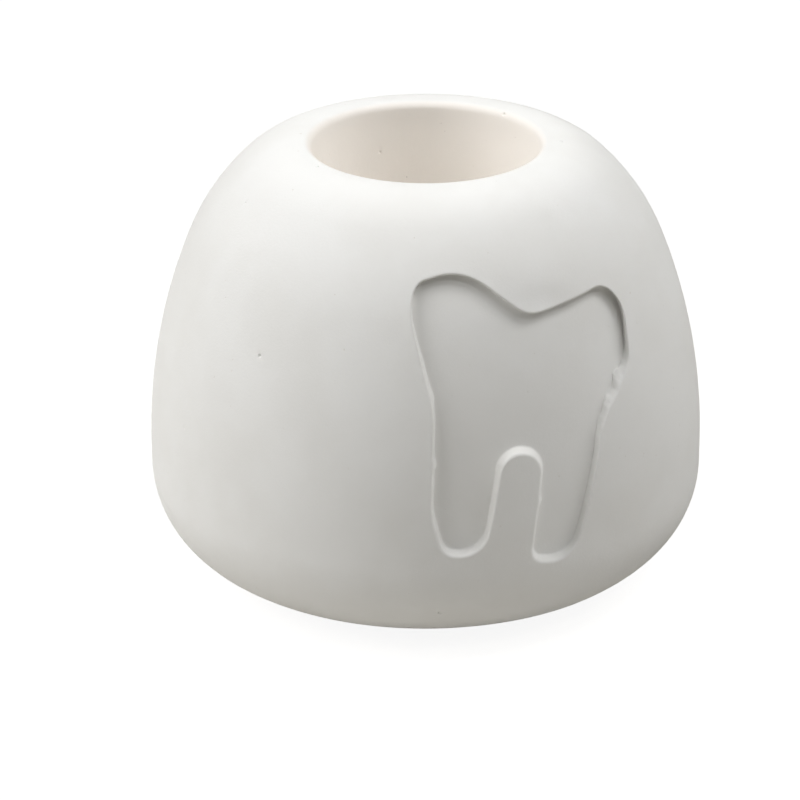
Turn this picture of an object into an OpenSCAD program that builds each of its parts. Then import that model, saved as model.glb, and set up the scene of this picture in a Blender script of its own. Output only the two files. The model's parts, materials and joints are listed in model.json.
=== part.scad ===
// Domed toothbrush holder: a heavy round casting with one socket in its top,
// a tooth-shaped recess sunk in its front, and four round pads under it.
// It stands on the plane z = 0, the socket's axis is the Z axis, and the recess faces -Y.

/* [Body] */
// Widest diameter of the body
body_d = 84; // [78:1:96]
// Height of the body from its flat underside to its rim
body_h = 65.5; // [61:0.5:74]
// Radius of the rounded lower edge
lower_edge_r = 15; // [9:0.5:17]
// Height of the band that stands upright above the lower edge
upright_h = 3; // [1:0.5:6]
// Radius of the shoulder, between the long belly curve and the tight crown curve
shoulder_r = 34; // [28:1:40]
// Angle that the belly curve turns through
belly_turn = 22; // [19:1:25]
// Angle that the shoulder curve turns through
shoulder_turn = 24; // [20:1:28]

/* [Socket] */
// Bore of the socket that a brush handle stands in
socket_d = 34; // [26:1:38]
// Depth of the socket below the rim
socket_depth = 45; // [36:1:50]
// Radius of the softened lip round the mouth
lip_r = 1.2; // [0.6:0.1:2]
// Width of the level ring between the lip and the crown curve
rim_flat = 0.6; // [0.3:0.1:2]
// Radius between the socket's wall and its floor
socket_floor_r = 4; // [1:0.5:8]

/* [Tooth recess] */
// Width of the tooth, measured round the widest part of the body
tooth_w = 41; // [34:0.5:44]
// Distance from the height of the rim down to the top of the tooth
tooth_top_gap = 10; // [8:0.5:16]
// Distance from the underside up to the tips of the tooth's roots
tooth_root_gap = 15.5; // [13:0.5:20]
// Depth of the recess's floor, square to the wall
tooth_depth = 1.6; // [1:0.1:3]
// Lean of the tooth to the right, in degrees
tooth_lean = 11; // [0:1:15]
// Turn of the recess's straight pull from the front towards the left, in degrees
tooth_pull_turn = 13; // [0:1:20]
// Slope of the recess's side walls, in degrees from the straight pull
tooth_draft = 14; // [6:1:16]
// Size of the eased edge round the recess
tooth_ease = 0.4; // [0.2:0.05:0.6]

/* [Foot pads] */
// Diameter of each pad
pad_d = 10; // [7:0.5:12]
// Thickness of each pad
pad_t = 1.5; // [1:0.25:3]
// Distance from a pad to the start of the rounded lower edge
pad_edge_gap = 2; // [1:0.5:4]
// Bevel round a pad's lower edge
pad_bevel = 0.3; // [0.2:0.05:0.5]

/* [Hidden] */
PAD_COUNT = 4;
$fn = 144;

// Corners of the tooth's outline, clockwise from the valley between its cusps:
// x as a share of half the width, y as a share of half the height, and the
// corner's radius as a share of half the height. The real one is a little uneven.
tooth_corner_shares = [
    [0.000, 0.790, 0.300],
    [0.983, 1.090, 0.250],
    [0.980, 0.430, 0.330],
    [0.682, 0.050, 0.490],
    [0.566, -1.003, 0.240],
    [0.195, -1.000, 0.120],
    [0.157, -0.187, 0.140],
    [-0.122, -0.187, 0.140],
    [-0.122, -1.003, 0.230],
    [-0.445, -1.003, 0.150],
    [-0.585, -0.700, 0.550],
    [-0.706, 0.045, 0.800],
    [-1.012, 0.645, 0.425],
    [-1.012, 0.850, 0.140],
    [-0.576, 1.033, 0.675],
];
// Points that see the whole of the tooth's right half and of its left half
tooth_hub_shares = [[0.4, 0.05], [-0.4, 0.05]];
// Steps in each rounded corner, and how many of the corners are in the right half
corner_steps = 7;
RIGHT_CORNER_COUNT = 7;
// Steps in each arc of the body's section
edge_steps = 16;
belly_steps = 10;
shoulder_steps = 8;
crown_steps = 12;
// How far the recess's cutter passes the wall outside and the recess's floor inside
cutter_outside = 6;
cutter_inside = 2.5;
ease_overrun = 0.2;
socket_overrun = 1;

// Places worked out from the sizes above, with the underside at height zero
body_r = body_d / 2;
socket_r = socket_d / 2;
rim_r = socket_r + lip_r + rim_flat;
base_flat_r = body_r - lower_edge_r;
belly_z = lower_edge_r + upright_h;
crown_turn = belly_turn + shoulder_turn;
pad_ring_r = base_flat_r - pad_edge_gap - pad_d / 2;
tooth_h = body_h - tooth_top_gap - tooth_root_gap;
tooth_mid_h = tooth_root_gap + tooth_h / 2;

// Belly and crown radii that make the three upper arcs run tangent into each other,
// upright at the belly and level at the rim
curve_rise = body_h - belly_z - shoulder_r * (sin(crown_turn) - sin(belly_turn));
curve_run = body_r - rim_r - shoulder_r * (cos(belly_turn) - cos(crown_turn));
curve_det = sin(belly_turn) * cos(crown_turn) - (1 - sin(crown_turn)) * (1 - cos(belly_turn));
belly_r = (curve_rise * cos(crown_turn) - curve_run * (1 - sin(crown_turn))) / curve_det;
crown_r = (curve_run * sin(belly_turn) - curve_rise * (1 - cos(belly_turn))) / curve_det;

// Centres of the four arcs, as [radius, height]
edge_centre = [body_r - lower_edge_r, lower_edge_r];
belly_centre = [body_r - belly_r, belly_z];
shoulder_centre = belly_centre + (belly_r - shoulder_r) * direction(belly_turn);
crown_centre = shoulder_centre + (shoulder_r - crown_r) * direction(crown_turn);

function direction(turn) = [cos(turn), sin(turn)];
function unit(v) = v / norm(v);
function flat_cross(a, b) = a[0] * b[1] - a[1] * b[0];
function spun(v, turn) = [v[0] * cos(turn) - v[1] * sin(turn), v[0] * sin(turn) + v[1] * cos(turn)];

// Radius of the wall at height z
function wall_radius(z) =
    z < edge_centre[1] ? arc_radius(edge_centre, lower_edge_r, z)
    : z < belly_z ? body_r
    : z < belly_centre[1] + belly_r * sin(belly_turn) ? arc_radius(belly_centre, belly_r, z)
    : z < shoulder_centre[1] + shoulder_r * sin(crown_turn) ? arc_radius(shoulder_centre, shoulder_r, z)
    : arc_radius(crown_centre, crown_r, z);
function arc_radius(centre, r, z) = centre[0] + sqrt(r * r - (z - centre[1]) * (z - centre[1]));

// Points along an arc between two directions, in equal steps
function arc_run(centre, r, from, to, steps, first = 0) =
    [for (i = [first : steps]) centre + r * direction(from + (to - from) * i / steps)];

// Points along the rounding of one corner of a clockwise outline
function corner_points(before, corner, after, r) =
    let (
        back = unit(before - corner),
        ahead = unit(after - corner),
        half_angle = acos(back * ahead) / 2,
        centre = corner + unit(back + ahead) * r / sin(half_angle),
        start = corner + back * r / tan(half_angle) - centre,
        sweep = (180 - 2 * half_angle) * (flat_cross(back, ahead) < 0 ? 1 : -1)
    )
    [for (i = [0 : corner_steps]) centre + spun(start, sweep * i / corner_steps)];

tooth_half = [tooth_w, tooth_h] / 2;
tooth_corners = [for (c = tooth_corner_shares) [c[0] * tooth_half[0], c[1] * tooth_half[1]]];
tooth_outline = [
    for (i = [0 : len(tooth_corners) - 1])
        let (n = len(tooth_corners))
        each corner_points(
            tooth_corners[(i + n - 1) % n],
            tooth_corners[i],
            tooth_corners[(i + 1) % n],
            tooth_corner_shares[i][2] * tooth_half[1]
        )
];

// The outline grown by the given distance
function grown(outline, by) =
    let (n = len(outline))
    [
        for (i = [0 : n - 1])
            let (along = unit(outline[(i + 1) % n] - outline[(i + n - 1) % n]))
            outline[i] + by * [-along[1], along[0]]
    ];

// A point of the upright, flat tooth laid on the wall: leaned over, bent round the body
// and pulled straight out by the given distance
function laid(p, out) =
    let (
        leaned = spun(p, -tooth_lean),
        around = leaned[0] / body_r * 180 / PI,
        z = tooth_mid_h + leaned[1],
        r = wall_radius(z)
    )
    [r * sin(around) - out * sin(tooth_pull_turn), -r * cos(around) - out * cos(tooth_pull_turn), z];

// Half section of the solid body, taken in by the given distance square to its wall
module wall_section(inset) {
    crown_top = crown_centre[1] + crown_r - inset;
    polygon(concat(
        [[0, inset]],
        arc_run(edge_centre, lower_edge_r - inset, -90, 0, edge_steps),
        arc_run(belly_centre, belly_r - inset, 0, belly_turn, belly_steps),
        arc_run(shoulder_centre, shoulder_r - inset, belly_turn, crown_turn, shoulder_steps, 1),
        arc_run(crown_centre, crown_r - inset, crown_turn, 90, crown_steps, 1),
        [[0, crown_top]]
    ));
}

// Half section of the socket, with its rounded floor corner and its softened lip
module socket_section() {
    floor_z = body_h - socket_depth;
    straight_z = floor_z + socket_floor_r;
    translate([0, straight_z]) square([socket_r, socket_depth - socket_floor_r + socket_overrun]);
    translate([0, floor_z]) square([socket_r - socket_floor_r, socket_floor_r + socket_overrun]);
    translate([socket_r - socket_floor_r, straight_z]) circle(r = socket_floor_r);
    difference() {
        translate([0, body_h - lip_r]) square([socket_r + lip_r, lip_r + socket_overrun]);
        translate([socket_r + lip_r, body_h - lip_r]) circle(r = lip_r);
        translate([socket_r + lip_r, body_h - lip_r]) square([lip_r, lip_r + socket_overrun]);
    }
}

// Cutter for the recess: the outline laid on the wall and lofted straight back through it on
// four rings, which gives the sloped side and the eased edge of a recess that a mould's tooth
// was pulled out of, cut off inside at an even depth below the wall
module tooth_recess() {
    inner_depth = tooth_depth + cutter_inside;
    rings = [
        [-inner_depth, -tooth_ease - (inner_depth - tooth_ease) * tan(tooth_draft)],
        [-tooth_ease, -tooth_ease],
        [ease_overrun, ease_overrun],
        [cutter_outside, ease_overrun],
    ];
    n = len(tooth_outline);
    last = len(rings) - 1;
    turn_point = RIGHT_CORNER_COUNT * (corner_steps + 1) - 1;
    ring_points = [for (ring = rings) for (p = grown(tooth_outline, ring[1])) laid(p, ring[0])];
    hub_points = [
        for (ring = [rings[0], rings[last]])
            for (share = tooth_hub_shares)
                laid([share[0] * tooth_half[0], share[1] * tooth_half[1]], ring[0])
    ];
    hub = len(ring_points);
    side_faces = [
        for (k = [0 : last - 1])
            for (i = [0 : n - 1])
                let (a = k * n + i, b = k * n + (i + 1) % n)
                each [[a, b, b + n], [a, b + n, a + n]]
    ];
    inner_faces = [
        for (i = [0 : n - 1]) [i < turn_point ? hub : hub + 1, (i + 1) % n, i],
        [hub, 0, turn_point],
        [hub + 1, turn_point, 0],
    ];
    outer_faces = [
        for (i = [0 : n - 1]) [i < turn_point ? hub + 2 : hub + 3, last * n + i, last * n + (i + 1) % n],
        [hub + 2, last * n + turn_point, last * n],
        [hub + 3, last * n, last * n + turn_point],
    ];
    difference() {
        polyhedron(points = concat(ring_points, hub_points), faces = concat(side_faces, inner_faces, outer_faces));
        rotate_extrude() wall_section(tooth_depth);
    }
}

module holder_body() {
    color([0.93, 0.92, 0.90])
        translate([0, 0, pad_t])
            difference() {
                rotate_extrude()
                    difference() {
                        wall_section(0);
                        socket_section();
                    }
                tooth_recess();
            }
}

// One pad, flat against the underside, with a bevel round its lower edge
module foot_pad(number) {
    pad_r = pad_d / 2;
    color([0.62, 0.62, 0.60])
        rotate([0, 0, (number - 0.5) * 360 / PAD_COUNT])
            translate([pad_ring_r, 0, 0])
                rotate_extrude()
                    polygon([[0, 0], [pad_r - pad_bevel, 0], [pad_r, pad_bevel], [pad_r, pad_t], [0, pad_t]]);
}

holder_body();
for (i = [1 : PAD_COUNT]) foot_pad(i);
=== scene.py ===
import json
import math
import random

import bmesh
import bpy
import numpy as np
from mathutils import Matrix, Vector, geometry, noise


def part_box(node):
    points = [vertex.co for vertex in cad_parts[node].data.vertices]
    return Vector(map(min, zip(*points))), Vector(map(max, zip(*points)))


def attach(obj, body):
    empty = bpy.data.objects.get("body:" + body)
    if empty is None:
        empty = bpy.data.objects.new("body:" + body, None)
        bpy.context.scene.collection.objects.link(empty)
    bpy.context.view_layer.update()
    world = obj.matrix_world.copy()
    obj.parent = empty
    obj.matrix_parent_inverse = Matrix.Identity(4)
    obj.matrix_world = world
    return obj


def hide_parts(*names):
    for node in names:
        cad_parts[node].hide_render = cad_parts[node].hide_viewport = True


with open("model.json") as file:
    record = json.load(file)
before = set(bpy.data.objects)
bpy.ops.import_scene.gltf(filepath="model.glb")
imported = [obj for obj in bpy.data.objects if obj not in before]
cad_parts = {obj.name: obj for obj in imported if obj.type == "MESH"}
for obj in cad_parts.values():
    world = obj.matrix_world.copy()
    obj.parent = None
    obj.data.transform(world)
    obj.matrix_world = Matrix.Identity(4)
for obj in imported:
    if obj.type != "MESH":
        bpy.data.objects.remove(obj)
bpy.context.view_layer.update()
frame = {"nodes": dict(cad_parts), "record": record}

# Sizes in millimetres. The frame gives the body's box and the socket's bore; the others
# are those of the part's source. Heights are above the body's flat underside.
MM = 0.001
body_low, body_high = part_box("holder_body")
BODY_R = (body_high[0] - body_low[0]) / 2 / MM
BODY_H = (body_high[2] - body_low[2]) / MM
BASE_Z = body_low[2] / MM
SOCKET_R = next(m["dims"]["r_mm"] for m in frame["record"]["mounts"] if m["name"] == "brush_socket")
LOWER_EDGE_R = 15.0
UPRIGHT_H = 3.0
SHOULDER_R = 34.0
BELLY_TURN = math.radians(22)
CROWN_TURN = math.radians(46)
LIP_R = 1.2
RIM_FLAT = 0.6
SOCKET_DEPTH = 45.0
SOCKET_FLOOR_R = 4.0
TOOTH_W = 41.0
TOOTH_TOP_GAP = 10.0
TOOTH_ROOT_GAP = 15.5
TOOTH_DEPTH = 1.6
TOOTH_LEAN = math.radians(11)
TOOTH_DRAFT = math.radians(14)
TOOTH_PULL_TURN = math.radians(13)
TOOTH_EDGE_R = 0.4
TOOTH_FLOOR_R = 0.3

# How finely the casting is meshed: columns round it, steps along its section where the section
# is plain, nearly flat or tightly rounded, the fewest steps of an arc, and steps along the tooth's
# outline, round the recess's eased edge and fillet, down its side wall and in its patches
COLUMNS = 288
ROW_STEP = 1.0
FLAT_STEP = 2.0
CROWN_STEP = 0.7
FOOT_STEP = 0.6
RIM_STEP = 0.3
LIP_STEP = 0.2
LEAST_ARC_STEPS = 4
OUTLINE_STEP = 0.36
ROUNDING_STEPS = 5
SIDE_STEPS = 5
FILL_STEP = 0.8

# In the patches filled with triangles: the spacing of their rows of points, and how far the
# points keep from the edges of the wall's patch and of the recess's floor, as shares of the step.
# Then how far the wall's patch reaches past the recess, how wide the strip of floor beside the
# recess's side is, and how close two points may lie.
FILL_ROW_SHARE = 0.866
WALL_GAP_SHARE = 0.6
FLOOR_GAP_SHARE = 0.5
PATCH_MARGIN = 1.5
FLOOR_STRIP = 0.5
TOLERANCE = 1e-7

# How far the cast surface may lie inside its ideal form, the lengths of its long and short
# waves, and the shares of the even part, the long waves and the short ones
WAVER = 0.09
LONG_WAVE = 17
SHORT_WAVE = 5
WAVER_SHARES = (0.5, 0.4, 0.15)

# Where the casting tore as it left its mould, down the outer side of the right cusp: tears
# that stand further in from their top to their bottom and then break off, as two heights on
# the upright tooth and a size.
TEARS = [(10.8, 5.6, 1.1), (6.6, 2.6, 0.7), (3.4, 0.4, 0.4), (1.2, -1.5, 0.25)]
TEAR_END = 1.6

# Small lumps elsewhere on the recess's side: place on the upright tooth, size and reach
LUMPS = [
    (-15.4, 2.0, 0.3, 0.7),
    (-13.2, -7.1, 0.35, 0.7),
    (-11.9, -9.8, 0.3, 0.7),
    (3.4, -10.8, 0.35, 0.7),
]

# How tears and lumps break: the size of fine and coarse breaks, how much the coarse ones count,
# how fast they change with depth, how deep all of them go, and what is left of a tear at the top
# of the recess's side
FINE_BREAK = 0.5
COARSE_BREAK = 1.2
COARSE_SHARE = 0.6
COARSE_RUN = 3
BREAK_SHARE = 0.5
TOP_SHARE = 0.25

# The thin edge left standing beside the recess: width, height, its section from the outside in
# as shares of both, and the share of the height that it has beside the cusps. Then the width
# of its nicks, and the shares of the height for its even part and for them.
BURR_W = 0.5
BURR_H = 0.07
BURR_SECTION = [(2, 0), (1, 0), (0.6, 0.6), (0.25, 1)]
BURR_LOW_SHARE = 0.3
NICK_W = 1.4
NICK_SHARES = (0.8, 0.9)

# The recess's side stands steeper beside both cusps: its draft there, and for each stretch the
# heights on the upright tooth between which it is steeper, and how far out that begins and is
# complete.
STEEP_DRAFT = math.radians(1)
STEEP_STRETCHES = [((9.5, 21.0), (16.0, 18.5)), ((6.5, 21.0), (-14.0, -16.5))]

# The shallow dip above the valley between the cusps: middle in the upright tooth's
# coordinates, half width, half height and depth
DIP_MIDDLE = (3.5, 17.7)
DIP_HALF = (9.5, 3.1)
DIP_DEPTH = 0.2

# Pinholes, as angle round the body from the front in degrees, distance from the middle of the
# underside along the skin, and radius. These show in the photograph. Smaller ones lie at random
# on the sides and the back: how many, their radii, their angles in degrees, and how far past
# the underside's edge they begin.
SEEN_PITS = [
    (-59.0, 79.5, 0.24),
    (-31.3, 57.9, 0.22),
    (-17.5, 42.6, 0.22),
    (116.5, 112.3, 0.28),
    (-176.2, 119.6, 0.2),
]
HIDDEN_PIT_SEED = 11
HIDDEN_PIT_COUNT = 26
HIDDEN_PIT_R = (0.1, 0.24)
HIDDEN_PIT_DEGREES = (60, 285)
HIDDEN_PIT_START = 6

# A pinhole's section, as shares of its radius and of its depth from the outside in, its depth and
# the reach of the cells that it replaces as shares of its radius, and how uneven its edge is
PIT_SECTION = [(1.5, 0.0), (1.15, 0.1), (0.85, 0.5), (0.55, 0.85), (0.25, 1.0)]
PIT_DEPTH_SHARE = 1.1
PIT_REACH_SHARE = 2.2
PIT_UNEVEN = 0.3
PIT_STEPS = 14


def direction(turn):
    """The unit vector at an angle, as [across, up]."""
    return np.array([math.cos(turn), math.sin(turn)])


class Line:
    """A straight stretch of the body's section, as [radius, height]."""

    def __init__(self, start, end, step=ROW_STEP):
        self.start, self.end = np.array(start, float), np.array(end, float)
        run = self.end - self.start
        self.length = float(np.linalg.norm(run))
        self.normal = np.array([run[1], -run[0]]) / self.length
        self.steps = max(1, round(self.length / step))

    def at(self, share):
        return self.start + (self.end - self.start) * share, self.normal


class Arc:
    """A round stretch of the body's section. The side is 1 where the body bulges and -1 where it
    is hollow."""

    def __init__(self, centre, r, start, end, side=1, step=ROW_STEP):
        self.centre, self.r, self.side = np.array(centre, float), r, side
        self.start, self.end = start, end
        self.length = r * abs(end - start)
        self.steps = max(LEAST_ARC_STEPS, round(self.length / step))

    def at(self, share):
        out = direction(self.start + (self.end - self.start) * share)
        return self.centre + self.r * out, self.side * out


def body_arcs():
    """The wall's three upper arcs, tangent to each other, upright at the belly and level at the rim."""
    rim_r = SOCKET_R + LIP_R + RIM_FLAT
    belly_z = LOWER_EDGE_R + UPRIGHT_H
    turns = direction(BELLY_TURN), direction(CROWN_TURN)
    rise = BODY_H - belly_z - SHOULDER_R * (turns[1][1] - turns[0][1])
    run = BODY_R - rim_r - SHOULDER_R * (turns[0][0] - turns[1][0])
    belly_r, crown_r = np.linalg.solve(
        [[turns[0][1], 1 - turns[1][1]], [1 - turns[0][0], turns[1][0]]], [rise, run]
    )
    belly = np.array([BODY_R - belly_r, belly_z])
    shoulder = belly + (belly_r - SHOULDER_R) * turns[0]
    crown = shoulder + (SHOULDER_R - crown_r) * turns[1]
    return [
        Arc(belly, belly_r, 0, BELLY_TURN),
        Arc(shoulder, SHOULDER_R, BELLY_TURN, CROWN_TURN),
        Arc(crown, crown_r, CROWN_TURN, math.pi / 2, step=CROWN_STEP),
    ]


def body_section():
    """The whole half section, from the middle of the underside round to the middle of the
    socket's floor, and its outer wall by itself."""
    base_r = BODY_R - LOWER_EDGE_R
    lip_mid = [SOCKET_R + LIP_R, BODY_H - LIP_R]
    floor_z = BODY_H - SOCKET_DEPTH
    floor_mid = [SOCKET_R - SOCKET_FLOOR_R, floor_z + SOCKET_FLOOR_R]
    outer = [
        Arc([base_r, LOWER_EDGE_R], LOWER_EDGE_R, -math.pi / 2, 0),
        Line([BODY_R, LOWER_EDGE_R], [BODY_R, LOWER_EDGE_R + UPRIGHT_H]),
    ] + body_arcs()
    underside = [Line([0, 0], [base_r, 0], step=FLAT_STEP)]
    socket = [
        Line([SOCKET_R + LIP_R + RIM_FLAT, BODY_H], [SOCKET_R + LIP_R, BODY_H], step=RIM_STEP),
        Arc(lip_mid, LIP_R, math.pi / 2, math.pi, step=LIP_STEP),
        Line([SOCKET_R, lip_mid[1]], [SOCKET_R, floor_mid[1]]),
        Arc(floor_mid, SOCKET_FLOOR_R, 0, -math.pi / 2, side=-1, step=FOOT_STEP),
        Line([floor_mid[0], floor_z], [0, floor_z], step=FLAT_STEP),
    ]
    return underside + outer + socket, outer


SECTION, OUTER = body_section()
SKIN = sum(part.length for part in SECTION)


def row_distances():
    """Distances along the skin of the mesh's rows, evenly spaced within each part of the section."""
    distances, start = [], 0.0
    for part in SECTION:
        distances += [start + part.length * i / part.steps for i in range(part.steps)]
        start += part.length
    return distances + [SKIN]


def section_at(distance):
    """Point and normal of the section at a distance along the skin."""
    for part in SECTION[:-1]:
        if distance < part.length:
            return part.at(distance / part.length)
        distance -= part.length
    return SECTION[-1].at(min(1.0, distance / SECTION[-1].length))


def waver(at, normal):
    """How far in the cast surface lies at a point of its ideal form. The underside is flat, so it
    has no waver where the normal points straight down."""
    straight_down = -0.98
    elsewhere = Vector((7, 3, 1))
    if normal[2] < straight_down:
        return 0.0
    long = noise.noise(Vector(at) / LONG_WAVE)
    short = noise.noise(Vector(at) / SHORT_WAVE + elsewhere)
    even_share, long_share, short_share = WAVER_SHARES
    return WAVER * (even_share + long_share * long + short_share * short)


def placed(section_point, section_normal, around, depth=0.0):
    """A point of the section turned round the axis and sunk by depth, in metres in the row frame.
    Around is measured from the front, -Y, towards +X."""
    (r, z), (out, up) = section_point, section_normal
    s, c = math.sin(around), math.cos(around)
    at = (r * s, -r * c, z)
    normal = (out * s, -out * c, up)
    sink = depth + waver(at, normal)
    x, y, z = (place - part * sink for place, part in zip(at, normal))
    return Vector((x, y, BASE_Z + z)) * MM


def wall_at(z):
    """Point and normal of the outer wall's section at a height."""
    for part in OUTER:
        top = part.at(1.0)[0][1]
        if z <= top:
            if isinstance(part, Line):
                return np.array([BODY_R, z]), part.normal
            turn = math.asin((z - part.centre[1]) / part.r)
            return part.centre + part.r * direction(turn), direction(turn)
    raise ValueError("above the rim")


# The tooth's outline: shares of half its width, of half its height, and each corner's
# radius as a share of half its height, clockwise from the valley between its cusps
TOOTH_H = BODY_H - TOOTH_TOP_GAP - TOOTH_ROOT_GAP
TOOTH_MID = TOOTH_ROOT_GAP + TOOTH_H / 2
TOOTH_CORNERS = [
    (0.000, 0.790, 0.300), (0.983, 1.090, 0.250), (0.980, 0.430, 0.330), (0.682, 0.050, 0.490),
    (0.566, -1.003, 0.240), (0.195, -1.000, 0.120), (0.157, -0.187, 0.140), (-0.122, -0.187, 0.140),
    (-0.122, -1.003, 0.230), (-0.445, -1.003, 0.150), (-0.585, -0.700, 0.550), (-0.706, 0.045, 0.800),
    (-1.012, 0.645, 0.425), (-1.012, 0.850, 0.140), (-0.576, 1.033, 0.675),
]


def rounded_corner(before, corner, after, r, steps=24):
    """Points round one corner of a clockwise outline."""
    back = (before - corner) / np.linalg.norm(before - corner)
    ahead = (after - corner) / np.linalg.norm(after - corner)
    half = math.acos(back @ ahead) / 2
    mid = (back + ahead) / np.linalg.norm(back + ahead)
    centre = corner + mid * r / math.sin(half)
    x, y = corner + back * r / math.tan(half) - centre
    turn = back[0] * ahead[1] - back[1] * ahead[0]
    sweep = (math.pi - 2 * half) * (1 if turn < 0 else -1)
    angles = [sweep * i / steps for i in range(steps + 1)]
    return [
        centre + [x * math.cos(a) - y * math.sin(a), x * math.sin(a) + y * math.cos(a)]
        for a in angles
    ]


def evenly(points, step):
    """A closed outline's points again, an even step apart."""
    closed = np.vstack([points, points[:1]])
    run = np.concatenate([[0], np.cumsum(np.linalg.norm(np.diff(closed, axis=0), axis=1))])
    count = round(run[-1] / step)
    at = np.arange(count) * run[-1] / count
    return np.stack([np.interp(at, run, closed[:, k]) for k in (0, 1)], axis=1)


def tooth_outline():
    """The upright tooth's outline, clockwise, as points an even step apart."""
    half = np.array([TOOTH_W, TOOTH_H]) / 2
    corners = [np.array(c[:2]) * half for c in TOOTH_CORNERS]
    n = len(corners)
    points = []
    for i, c in enumerate(TOOTH_CORNERS):
        points += rounded_corner(corners[i - 1], corners[i], corners[(i + 1) % n], c[2] * half[1])
    return evenly(np.array(points), OUTLINE_STEP)


def outward(outline):
    """Unit vectors that point out of a clockwise outline."""
    along = np.roll(outline, -1, axis=0) - np.roll(outline, 1, axis=0)
    along /= np.linalg.norm(along, axis=1)[:, None]
    return np.stack([-along[:, 1], along[:, 0]], axis=1)


def recess_section(draft, raised):
    """The recess's edge in section, as (distance outside the outline, depth): an outer strip that
    may stand a little proud, eased edge, sloped side wall, small fillet and floor."""
    turn = math.pi / 2 - draft
    edge_run = TOOTH_EDGE_R * math.tan(turn / 2)
    floor_run = TOOTH_FLOOR_R * math.tan(turn / 2)
    wall = np.array([-math.sin(draft), math.cos(draft)])
    top = np.array([-edge_run, 0.0])
    foot = top + wall * TOOTH_DEPTH / wall[1]
    rings = [(BURR_W * out, -raised * up) for out, up in BURR_SECTION]
    for i in range(ROUNDING_STEPS + 1):
        a = turn * i / ROUNDING_STEPS
        lift = raised * (1 - i / ROUNDING_STEPS) ** 2
        rings.append((-TOOTH_EDGE_R * math.sin(a), TOOTH_EDGE_R * (1 - math.cos(a)) - lift))
    start, end = top + wall * edge_run, foot - wall * floor_run
    rings += [tuple(start + (end - start) * (i / SIDE_STEPS)) for i in range(1, SIDE_STEPS)]
    for i in range(ROUNDING_STEPS + 1):
        a = turn * (1 - i / ROUNDING_STEPS)
        rings.append((
            foot[0] - floor_run + TOOTH_FLOOR_R * math.sin(a),
            TOOTH_DEPTH - TOOTH_FLOOR_R * (1 - math.cos(a)),
        ))
    rings.append((rings[-1][0] - FLOOR_STRIP, TOOTH_DEPTH))
    return rings


def hump(value, low, high):
    """1 in the middle between two values, falling smoothly to 0 at both."""
    share = (value - low) / (high - low)
    return math.sin(math.pi * share) ** 2 if 0 < share < 1 else 0.0


def torn(height, top, bottom):
    """How far a tear stands in at a height: none at its top, all at its bottom, then soon none."""
    share = (top - height) / (top - bottom)
    return max(0.0, min(share, 1 - (bottom - height) / TEAR_END))


def ragged(point, share):
    """How far the recess's side stands in from its true place, at a point of the outline and a share
    of the depth: tears and lumps with a broken face."""
    x, y = point
    lump = 0.0
    for lump_x, lump_y, size, reach in LUMPS:
        lump += size * math.exp(-((x - lump_x) ** 2 + (y - lump_y) ** 2) / reach ** 2)
    right_side = x > TOOTH_W / 4
    if right_side:
        lump += max(size * torn(y, top, bottom) for top, bottom, size in TEARS)
    fine = noise.noise(Vector((x, y, share)) / FINE_BREAK)
    coarse = noise.noise(Vector((x, y, COARSE_RUN * share)) / COARSE_BREAK)
    broken = fine + COARSE_SHARE * coarse
    return lump * (1 + BREAK_SHARE * broken) * min(1, TOP_SHARE + share)


def burr(point):
    """Height of the thin edge left standing along the recess's sides, with small nicks in it. It
    stands highest down the left side."""
    x, y = point
    elsewhere = 9
    even_share, nick_share = NICK_SHARES
    nick = noise.noise(Vector((x, y, elsewhere)) / NICK_W)
    below_cusps = y < TOOTH_H / 5
    side = hump(x, -TOOTH_W, 0) if below_cusps else BURR_LOW_SHARE
    return BURR_H * side * (even_share + nick_share * nick)


def draft_at(point):
    """How far the recess's side leans open at a point of the outline."""
    x, y = point
    steep = max(
        hump(y, *span) ** 0.5 * min(1, max(0, (x - begin) / (complete - begin)))
        for span, (begin, complete) in STEEP_STRETCHES
    )
    return TOOTH_DRAFT + (STEEP_DRAFT - TOOTH_DRAFT) * steep


def leaned(points):
    """The upright tooth's points leaned over, as [distance round the belly, height]."""
    c, s = math.cos(-TOOTH_LEAN), math.sin(-TOOTH_LEAN)
    points = np.asarray(points)
    return np.stack([
        points[:, 0] * c - points[:, 1] * s,
        points[:, 0] * s + points[:, 1] * c + TOOTH_MID,
    ], axis=1)


def pulled_back(around, height):
    """The place on the unrolled wall whose floor lies straight behind another place, along the
    line that the mould's tooth was pulled out on."""
    rounds = 12
    up = height
    for _ in range(rounds):
        rise = wall_at(up)[1][1]
        up = height + TOOTH_DEPTH * rise
    (r, _), (out, _) = wall_at(up)
    side = wall_at(height)[0][0] * math.sin(around / BODY_R + TOOTH_PULL_TURN)
    return (math.asin(side / (r - TOOTH_DEPTH * out)) - TOOTH_PULL_TURN) * BODY_R, up


def inside(points, outline):
    """Which points lie inside a closed outline."""
    x, y = points[:, 0][:, None], points[:, 1][:, None]
    ax, ay = outline[:, 0], outline[:, 1]
    bx, by = np.roll(ax, -1), np.roll(ay, -1)
    crosses = (ay > y) != (by > y)
    with np.errstate(divide="ignore", invalid="ignore"):
        left = x < (bx - ax) * (y - ay) / (by - ay) + ax
    return (crosses & left).sum(axis=1) % 2 == 1


def apart(points, outline):
    """Distance from each point to the nearest point of an outline."""
    return np.min(np.linalg.norm(points[:, None, :] - outline[None, :, :], axis=2), axis=1)


def recess_rings():
    """The rings of points down the recess's side, each as places on the unrolled wall and as each
    one's share of the depth."""
    outline = tooth_outline()
    sections = np.array([recess_section(draft_at(point), burr(point)) for point in outline])
    for point, section in zip(outline, sections):
        for ring in section:
            ring[0] -= ragged(point, ring[1] / TOOTH_DEPTH)
    return [
        (leaned(outline + outward(outline) * sections[:, k, :1]), sections[:, k, 1] / TOOTH_DEPTH)
        for k in range(sections.shape[1])
    ]


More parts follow.
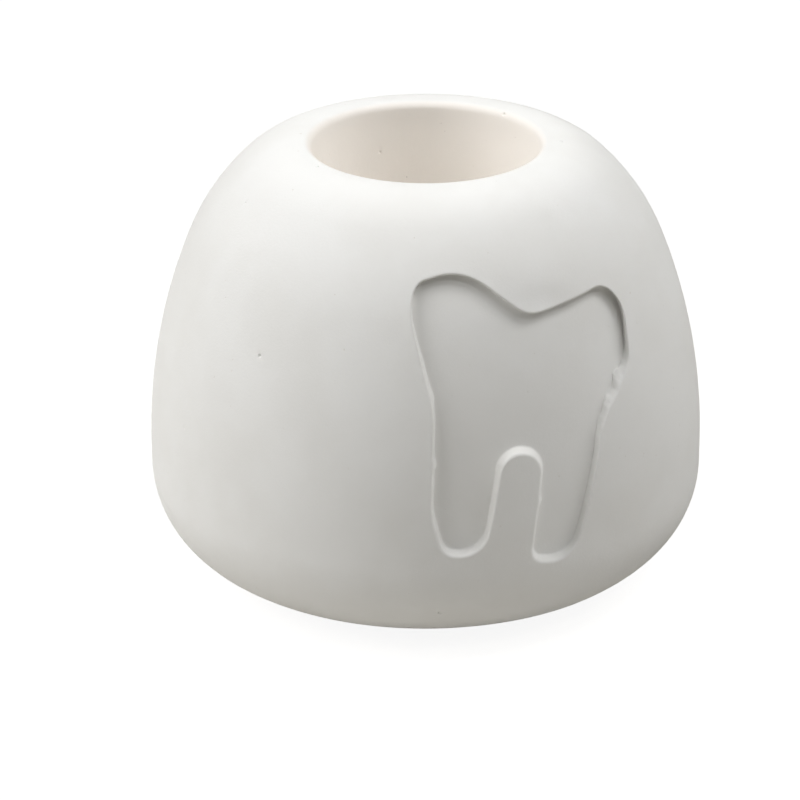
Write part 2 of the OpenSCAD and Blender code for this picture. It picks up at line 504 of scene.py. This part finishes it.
def fill_points(low, high, keep):
    """An even triangular pattern of points in a box, those that keep() accepts."""
    rows = np.arange(low[1], high[1], FILL_STEP * FILL_ROW_SHARE)
    points = [
        (x + (FILL_STEP / 2 if k % 2 else 0), y)
        for k, y in enumerate(rows)
        for x in np.arange(low[0], high[0], FILL_STEP)
    ]
    points = np.array(points)
    return points[keep(points)]


def triangles(points, loops, keep):
    """Triangles over flat points that keep every edge of the loops, and whose middles keep() accepts."""
    edges = [(loop[i], loop[(i + 1) % len(loop)]) for loop in loops for i in range(len(loop))]
    made = geometry.delaunay_2d_cdt([Vector(p) for p in points], edges, [], 0, TOLERANCE)
    source = [origin[0] for origin in made[3]]
    faces = np.array([[source[i] for i in face] for face in made[2]])
    middles = np.asarray(points)[faces].mean(axis=1)
    return faces[keep(middles)]


def dip(around, height):
    """Depth of the shallow dip above the tooth's valley at a place on the unrolled wall."""
    c, s = math.cos(TOOTH_LEAN), math.sin(TOOTH_LEAN)
    up = height - TOOTH_MID
    at = around * c - up * s, around * s + up * c
    spans = [(middle - half, middle + half) for middle, half in zip(DIP_MIDDLE, DIP_HALF)]
    return DIP_DEPTH * math.prod(hump(value, *span) for value, span in zip(at, spans))


def sunk(around, height, depth=0.0):
    """A place on the unrolled wall, sunk by depth and by the dip above the tooth's valley."""
    return placed(*wall_at(height), around / BODY_R, depth + dip(around, height))


def pit_rim(degrees):
    """An uneven circle of radius 1 or so for the pinhole at an angle round the body."""
    outs = [direction(2 * math.pi * i / PIT_STEPS) for i in range(PIT_STEPS)]
    return np.array([out * (1 + PIT_UNEVEN * noise.noise(Vector((*out, degrees)))) for out in outs])


class Casting:
    """The holder's body as one closed mesh: the section turned round the axis, with the tooth's
    recess worked into a patch of the wall at the front and pinholes into small blocks of cells."""

    turn = 2 * math.pi / COLUMNS

    def __init__(self):
        self.verts, self.faces, self.taken = [], [], set()
        self.distances = row_distances()
        self.section = [section_at(distance) for distance in self.distances]
        self.grid = [self.grid_row(point, normal) for point, normal in self.section]

    def add(self, point):
        self.verts.append(point)
        return len(self.verts) - 1

    def grid_row(self, point, normal):
        """One row of the grid: a ring of points, or the same point all round where it is on the axis."""
        if point[0] < TOLERANCE:
            return [self.add(placed(point, normal, 0.0))] * COLUMNS
        return [self.add(placed(point, normal, c * self.turn)) for c in range(COLUMNS)]

    def corner(self, column, row):
        return self.grid[row][column % COLUMNS]

    def border(self, columns, rows):
        """The grid's corners round a block of cells, in order, as (column, row)."""
        (left, right), (low, high) = columns, rows
        return (
            [(c, low) for c in range(left, right)]
            + [(right, k) for k in range(low, high)]
            + [(c, high) for c in range(right, left, -1)]
            + [(left, k) for k in range(high, low, -1)]
        )

    def claim(self, columns, rows):
        """Takes a block of cells out of the grid, and says whether it was still free."""
        block = {(c % COLUMNS, k) for c in range(*columns) for k in range(*rows)}
        if block & self.taken:
            return False
        self.taken |= block
        return True

    def fill(self, points, indices, loops, keep):
        """Triangles over flat points, whose corners in the mesh are given by their indices."""
        for face in triangles(points, loops, keep):
            self.faces.append([indices[i] for i in face])

    def band(self, outer_ring, inner_ring):
        """Quads between two rings of as many points."""
        for i, n in zip(range(len(outer_ring)), [*range(1, len(outer_ring)), 0]):
            self.faces.append([outer_ring[i], outer_ring[n], inner_ring[n], inner_ring[i]])

    def grid_faces(self):
        """The cells that are still free. Beside the axis they are triangles."""
        for k in range(len(self.section) - 1):
            for c in range(COLUMNS):
                if (c, k) not in self.taken:
                    places = [(c, k), (c + 1, k), (c + 1, k + 1), (c, k + 1)]
                    face = [self.corner(*place) for place in places]
                    self.faces.append(list(dict.fromkeys(face)))

    def wall(self, around, height, depth=0.0):
        """A new point on the unrolled wall, sunk by depth."""
        return self.add(sunk(around, height, depth))

    def side(self, around, height, share):
        """A new point of the recess's side, at a share of the way straight back to the floor."""
        back = sunk(*pulled_back(around, height), TOOTH_DEPTH)
        return self.add(sunk(around, height).lerp(back, share))

    def recess(self):
        """The tooth's recess: its side as rings of quads, the patch of wall round it and its floor."""
        rings = recess_rings()
        indices = [[self.side(*point, share) for point, share in zip(*ring)] for ring in rings]
        for outer_ring, inner_ring in zip(indices, indices[1:]):
            self.band(outer_ring, inner_ring)
        widest = rings[0][0]
        narrowest = np.array([pulled_back(*point) for point in rings[-1][0]])
        border = self.recess_border(widest)
        border_points = np.array([(c * self.turn * BODY_R, self.section[k][0][1]) for c, k in border])
        box = border_points.min(axis=0), border_points.max(axis=0)
        self.recess_surround(border, border_points, widest, indices[0], box)
        self.recess_floor(narrowest, indices[-1], box)

    def recess_border(self, widest):
        """Takes the block of cells behind the recess out of the grid, and gives its border."""
        heights = [point[1] for point, _ in self.section]
        wall_rows = range(1, 1 + sum(part.steps for part in [SECTION[0]] + OUTER))
        side = math.ceil((np.abs(widest[:, 0]).max() + PATCH_MARGIN) / BODY_R / self.turn)
        first = max(k for k in wall_rows if heights[k] < widest[:, 1].min() - PATCH_MARGIN)
        last = min(k for k in wall_rows if heights[k] > widest[:, 1].max() + PATCH_MARGIN)
        self.claim((-side, side), (first, last))
        return self.border((-side, side), (first, last))

    def recess_surround(self, border, border_points, widest, widest_indices, box):
        """The patch of wall between the block's border and the recess's widest ring."""
        gap = WALL_GAP_SHARE * FILL_STEP

        def outside(points):
            return inside(points, border_points) & ~inside(points, widest)

        def clear(points):
            return outside(points) & (apart(points, widest) > gap) & (apart(points, border_points) > gap)

        points = fill_points(*box, clear)
        b, w = len(border_points), len(widest)
        self.fill(
            np.vstack([border_points, widest, points]),
            [self.corner(c, k) for c, k in border] + widest_indices + [self.wall(*p) for p in points],
            [list(range(b)), list(range(b, b + w))],
            outside,
        )

    def recess_floor(self, narrowest, narrowest_indices, box):
        """The recess's floor within its narrowest ring."""
        gap = FLOOR_GAP_SHARE * FILL_STEP
        points = fill_points(*box, lambda p: inside(p, narrowest) & (apart(p, narrowest) > gap))
        self.fill(
            np.vstack([narrowest, points]),
            narrowest_indices + [self.wall(*p, TOOTH_DEPTH) for p in points],
            [list(range(len(narrowest)))],
            lambda p: inside(p, narrowest),
        )

    def pit(self, degrees, distance, r):
        """A round dimple in place of a small block of cells, if they are all still free."""
        row = min(range(len(self.distances)), key=lambda k: abs(self.distances[k] - distance))
        middle_r = self.section[row][0][0]
        cell = self.turn * middle_r
        around = math.radians(degrees) * middle_r
        reach = PIT_REACH_SHARE * r
        left, right = math.floor((around - reach) / cell), math.ceil((around + reach) / cell)
        low = max(k for k in range(row + 1) if self.distances[k] < distance - reach)
        high = min(k for k in range(row, len(self.distances)) if self.distances[k] > distance + reach)
        if not self.claim((left, right), (low, high)):
            return
        border = self.border((left, right), (low, high))
        border_points = np.array([(c * cell, self.distances[k]) for c, k in border])
        middle, rim = np.array([around, distance]), pit_rim(degrees) * r
        rings = [middle + rim * share for share, _ in PIT_SECTION]
        depths = [r * PIT_DEPTH_SHARE * share for _, share in PIT_SECTION]
        indices = [
            [self.add(placed(*section_at(along), across / middle_r, depth)) for across, along in ring]
            for ring, depth in zip(rings, depths)
        ]
        b = len(border)
        self.fill(
            np.vstack([border_points, rings[0]]),
            [self.corner(c, k) for c, k in border] + indices[0],
            [list(range(b)), list(range(b, b + PIT_STEPS))],
            lambda p: ~inside(p, rings[0]),
        )
        for outer_ring, inner_ring in zip(indices, indices[1:]):
            self.band(outer_ring, inner_ring)
        self.faces.append(indices[-1])

    def hidden_pits(self):
        """Pinholes at random on the sides and the back."""
        draw = random.Random(HIDDEN_PIT_SEED)
        low = SECTION[0].length + HIDDEN_PIT_START
        high = SECTION[0].length + sum(part.length for part in OUTER)
        for _ in range(HIDDEN_PIT_COUNT):
            degrees = draw.uniform(*HIDDEN_PIT_DEGREES)
            self.pit(degrees, draw.uniform(low, high), draw.uniform(*HIDDEN_PIT_R))

    def piece(self):
        """The finished casting as an object."""
        self.recess()
        for pit in SEEN_PITS:
            self.pit(*pit)
        self.hidden_pits()
        self.grid_faces()
        return mesh_piece("cast_body", self.verts, self.faces)


def mesh_piece(name, verts, faces):
    """A smooth-shaded mesh object with its loose points gone and its faces turned outward."""
    mesh = bpy.data.meshes.new(name)
    mesh.from_pydata(verts, [], faces)
    bm = bmesh.new()
    bm.from_mesh(mesh)
    bmesh.ops.delete(bm, geom=[v for v in bm.verts if not v.link_faces], context="VERTS")
    bmesh.ops.recalc_face_normals(bm, faces=bm.faces)
    bm.to_mesh(mesh)
    bm.free()
    mesh.shade_smooth()
    piece = bpy.data.objects.new(name, mesh)
    bpy.context.scene.collection.objects.link(piece)
    return piece


class Shading:
    """A material's nodes with the helpers that the looks below share."""

    def __init__(self, name):
        self.material = bpy.data.materials.new(name)
        self.material.use_nodes = True
        self.nodes, self.links = self.material.node_tree.nodes, self.material.node_tree.links
        self.nodes.clear()
        self.output = self.nodes.new("ShaderNodeOutputMaterial")
        self.place = self.nodes.new("ShaderNodeTexCoord").outputs["Object"]

    def math(self, operation, *values):
        """The result of one sum, whose values are numbers or other nodes' outputs."""
        node = self.nodes.new("ShaderNodeMath")
        node.operation = operation
        for socket, value in zip(node.inputs, values):
            self.put(socket, value)
        return node.outputs[0]

    def put(self, socket, value):
        """Sets a socket to a number or colour, or links another node's output to it."""
        if isinstance(value, bpy.types.NodeSocket):
            self.links.new(value, socket)
        else:
            socket.default_value = value

    def noise(self, grain, detail=2.0, rough=0.5):
        """Noise whose features are about grain across, in millimetres."""
        node = self.nodes.new("ShaderNodeTexNoise")
        node.inputs["Scale"].default_value = 1 / (grain * MM)
        node.inputs["Detail"].default_value = detail
        node.inputs["Roughness"].default_value = rough
        self.links.new(self.place, node.inputs["Vector"])
        return node.outputs["Fac"]

    def spread(self, value, low, high, to_low=0.0, to_high=1.0):
        """A value's range from low to high laid out smoothly from to_low to to_high."""
        node = self.nodes.new("ShaderNodeMapRange")
        node.interpolation_type = "SMOOTHSTEP"
        ends = {"From Min": low, "From Max": high, "To Min": to_low, "To Max": to_high}
        for name, number in ends.items():
            node.inputs[name].default_value = number
        self.put(node.inputs["Value"], value)
        return node.outputs["Result"]

    def blend(self, share, first, second):
        """The first colour, blended into the second by a share from 0 to 1."""
        node = self.nodes.new("ShaderNodeMix")
        node.data_type = "RGBA"
        self.put(node.inputs["Factor"], share)
        self.put(node.inputs["A"], first)
        self.put(node.inputs["B"], second)
        return next(s for s in node.outputs if s.type == "RGBA")

    def principled(self, **values):
        """The surface's shader, with its sockets named by words joined with underscores."""
        shader = self.nodes.new("ShaderNodeBsdfPrincipled")
        for name, value in values.items():
            self.put(shader.inputs[name.replace("_", " ")], value)
        self.links.new(shader.outputs["BSDF"], self.output.inputs["Surface"])

    def bump(self, height, depth):
        """The normal of a surface that rises and falls by depth, in millimetres."""
        node = self.nodes.new("ShaderNodeBump")
        node.inputs["Distance"].default_value = depth * MM
        self.links.new(height, node.inputs["Height"])
        return node.outputs["Normal"]


# The plaster's tones: two that cloud over each other, that of its pores, and a paler, warmer one
# that is painted bounce light inside the socket
PLASTER_LIGHT = (0.912, 0.909, 0.888, 1)
PLASTER_DARK = (0.886, 0.880, 0.854, 1)
PLASTER_PORE = (0.80, 0.77, 0.73, 1)
# Painted bounce light: the paler, warmer tone inside the socket
SOCKET_PAINTED_BOUNCE_LIGHT = (1.0, 0.960, 0.907, 1)

# The sizes of its clouds, pores and grain in millimetres, the span of noise over which each comes
# in, how rough it is between its grains and on them, how shiny it is and how deep its grain goes
CLOUD_W = 16
CLOUD_SPAN = (0.35, 0.65)
PORE_W = 0.9
PORE_SPAN = (0.27, 0.20)
GRAIN_W = 0.35
GRAIN_SPAN = (0.3, 0.7)
PLASTER_ROUGH = (0.95, 0.82)
PLASTER_SHINE = 0.25
GRAIN_DEPTH = 0.03

# Within this distance of the socket's wall the painted bounce light inside it is complete
SOCKET_PAINTED_LIGHT_W = 0.2


def painted_socket_light_share(look):
    """Share of the painted bounce light: 1 inside the upper half of the socket and 0 on the body's
    outside, blended over the lip.
    """
    apart_xyz = look.nodes.new("ShaderNodeSeparateXYZ")
    look.links.new(look.place, apart_xyz.inputs[0])
    x, y, z = apart_xyz.outputs
    squares = look.math("ADD", look.math("MULTIPLY", x, x), look.math("MULTIPLY", y, y))
    radius = look.math("SQRT", squares)
    within = look.spread(radius, (SOCKET_R + LIP_R) * MM, (SOCKET_R + SOCKET_PAINTED_LIGHT_W) * MM)
    above = look.math("GREATER_THAN", z, (BODY_H - SOCKET_DEPTH) / 2 * MM)
    return look.math("MULTIPLY", within, above)


def plaster():
    """Porous white casting plaster: matte, clouded in tone, finely grained, with scattered pores, and
    with painted bounce light, paler and warmer, inside the socket.
    """
    look = Shading("porous_plaster")
    clouds = look.spread(look.noise(CLOUD_W, detail=4, rough=0.55), *CLOUD_SPAN)
    tone = look.blend(clouds, PLASTER_DARK, PLASTER_LIGHT)
    # Painted bounce light inside the socket, blended in over the lip
    tone = look.blend(painted_socket_light_share(look), tone, SOCKET_PAINTED_BOUNCE_LIGHT)
    pores = look.spread(look.noise(PORE_W, detail=2, rough=0.6), *PORE_SPAN)
    tone = look.blend(pores, tone, PLASTER_PORE)
    grain = look.noise(GRAIN_W, detail=4, rough=0.7)
    look.principled(
        Base_Color=tone,
        Roughness=look.spread(grain, *GRAIN_SPAN, *PLASTER_ROUGH),
        Specular_IOR_Level=PLASTER_SHINE,
        Normal=look.bump(look.math("SUBTRACT", grain, pores), GRAIN_DEPTH),
    )
    return look.material


# The pads' rubber: two tones that cloud over each other, the sizes of its clouds and grain in
# millimetres, how rough it is between its grains and on them, and how deep they go
RUBBER_LIGHT = (0.38, 0.38, 0.37, 1)
RUBBER_DARK = (0.30, 0.30, 0.29, 1)
RUBBER_CLOUD_W = 2.5
RUBBER_GRAIN_W = 0.5
RUBBER_ROUGH = (0.75, 0.6)
RUBBER_DEPTH = 0.02


def rubber():
    """Soft matte rubber for the pads."""
    look = Shading("pad_rubber")
    grain = look.noise(RUBBER_GRAIN_W, detail=3)
    clouds = look.spread(look.noise(RUBBER_CLOUD_W), *CLOUD_SPAN)
    look.principled(
        Base_Color=look.blend(clouds, RUBBER_DARK, RUBBER_LIGHT),
        Roughness=look.spread(grain, *GRAIN_SPAN, *RUBBER_ROUGH),
        Normal=look.bump(grain, RUBBER_DEPTH),
    )
    return look.material


# The camera, fitted to the outline of the object in the photograph: angles, distance and target
# in metres, then lens and sensor in millimetres
CAMERA_AZIMUTH = math.radians(-20.4)
CAMERA_RISE = math.radians(23.33)
CAMERA_DISTANCE = 0.546
CAMERA_LENS = 161.7
CAMERA_SENSOR = 36
CAMERA_SHIFT = (-0.0320, -0.0616)
CAMERA_RANGE = (0.01, 50)
TARGET = Vector((0, 0, 0.033))


def from_side(azimuth, rise, distance):
    """A place round the target: azimuth 0 is the front, -Y, and grows towards +X."""
    flat, up = math.cos(rise) * distance, math.sin(rise) * distance
    return TARGET + Vector((math.sin(azimuth) * flat, -math.cos(azimuth) * flat, up))


def aim(thing, azimuth, rise, distance, target):
    """Links a camera or lamp into the scene, round the object, and turns it to its target."""
    bpy.context.scene.collection.objects.link(thing)
    thing.location = from_side(azimuth, rise, distance)
    thing.rotation_euler = (target - thing.location).to_track_quat("-Z", "Y").to_euler()


def make_camera():
    """The photograph's camera."""
    data = bpy.data.cameras.new("camera")
    data.lens = CAMERA_LENS
    data.sensor_width = CAMERA_SENSOR
    data.shift_x, data.shift_y = CAMERA_SHIFT
    data.clip_start, data.clip_end = CAMERA_RANGE
    camera = bpy.data.objects.new("camera", data)
    aim(camera, CAMERA_AZIMUTH, CAMERA_RISE, CAMERA_DISTANCE, TARGET)
    bpy.context.scene.camera = camera


# Large soft disks round the object, as azimuth from the camera's side and rise in degrees and
# power in watts. Then the distance and size of all of them in metres.
LAMPS = [
    (-90, 10, 1.0),
    (-90, 35, 4.1),
    (-90, 62, 2.8),
    (-60, 35, 2.3),
    (90, 35, 1.8),
    (120, 35, 2.1),
]
LAMP_DISTANCE = 1.1
LAMP_SIZE = 0.6

# Narrow beams from above that brighten the socket and the upper wall, as azimuth, rise, width
# of the beam in degrees and power. Then the size of each source and what all are aimed at.
BEAMS = [
    (35, 50, 12, 8.0),
    (60, 62, 12, 11.0),
    (90, 62, 12, 9.5),
]
BEAM_SIZE = 0.08
BEAM_TARGET = Vector((0, 0, 0.062))


def hang(data, azimuth, rise, target):
    """A lamp that the camera doesn't see, at an azimuth from the camera's side and a rise in degrees."""
    lamp = bpy.data.objects.new("lamp", data)
    aim(lamp, CAMERA_AZIMUTH + math.radians(azimuth), math.radians(rise), LAMP_DISTANCE, target)
    lamp.visible_camera = False


def make_lamps():
    for azimuth, rise, power in LAMPS:
        data = bpy.data.lights.new("lamp", "AREA")
        data.shape = "DISK"
        data.size = LAMP_SIZE
        data.energy = power
        hang(data, azimuth, rise, TARGET)
    for azimuth, rise, width, power in BEAMS:
        data = bpy.data.lights.new("beam", "SPOT")
        data.spot_size = math.radians(width)
        data.spot_blend = 1.0
        data.shadow_soft_size = BEAM_SIZE
        data.energy = power
        hang(data, azimuth, rise, BEAM_TARGET)


def make_world():
    """White to the camera, and without light of its own for everything else."""
    world = bpy.data.worlds.new("studio")
    world.use_nodes = True
    nodes, links = world.node_tree.nodes, world.node_tree.links
    nodes.clear()
    output = nodes.new("ShaderNodeOutputWorld")
    rays = nodes.new("ShaderNodeLightPath")
    mix = nodes.new("ShaderNodeMixShader")
    dark = nodes.new("ShaderNodeBackground")
    white = nodes.new("ShaderNodeBackground")
    white.inputs["Color"].default_value = (1, 1, 1, 1)
    dark.inputs["Strength"].default_value = 0
    links.new(rays.outputs["Is Camera Ray"], mix.inputs["Fac"])
    links.new(dark.outputs["Background"], mix.inputs[1])
    links.new(white.outputs["Background"], mix.inputs[2])
    links.new(mix.outputs["Shader"], output.inputs["Surface"])
    bpy.context.scene.world = world


# The floor: half its width in metres, the tone that the light strikes, the share of that tone
# that the camera sees under the white, and the strength of the white
FLOOR_HALF = 3.0
FLOOR_SHADE = (0.69, 0.67, 0.63, 1)
FLOOR_SHOWN_SHADOW = 0.3
FLOOR_WHITE = 1.3


def pale_floor():
    """White to the camera apart from a soft shadow, and a pale tone to the light that strikes it."""
    look = Shading("pale_floor")
    diffuse = look.nodes.new("ShaderNodeBsdfDiffuse")
    diffuse.inputs["Color"].default_value = FLOOR_SHADE
    white = look.nodes.new("ShaderNodeEmission")
    white.inputs["Strength"].default_value = FLOOR_WHITE
    shown = look.nodes.new("ShaderNodeMixShader")
    shown.inputs["Fac"].default_value = FLOOR_SHOWN_SHADOW
    rays = look.nodes.new("ShaderNodeLightPath")
    mix = look.nodes.new("ShaderNodeMixShader")
    look.links.new(white.outputs["Emission"], shown.inputs[1])
    look.links.new(diffuse.outputs["BSDF"], shown.inputs[2])
    look.links.new(rays.outputs["Is Camera Ray"], mix.inputs["Fac"])
    look.links.new(diffuse.outputs["BSDF"], mix.inputs[1])
    look.links.new(shown.outputs["Shader"], mix.inputs[2])
    look.links.new(mix.outputs["Shader"], look.output.inputs["Surface"])
    return look.material


def make_floor():
    ends = -FLOOR_HALF, FLOOR_HALF
    corners = [(x, y, 0) for x in ends for y in ends]
    floor = mesh_piece("floor", corners, [(0, 2, 3, 1)])
    floor.data.materials.append(pale_floor())


def make_body():
    body = Casting().piece()
    body.data.materials.append(plaster())
    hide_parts("holder_body")
    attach(body, "root")


def make_pads():
    """The pads keep their CAD meshes and only get their look."""
    material = rubber()
    for name, node in frame["nodes"].items():
        if name.startswith("foot_pad_"):
            for place in node.material_slots:
                place.link = "OBJECT"
                place.material = material


make_camera()
make_lamps()
make_world()
make_floor()
make_body()
make_pads()
bpy.context.scene.view_settings.view_transform = "Standard"
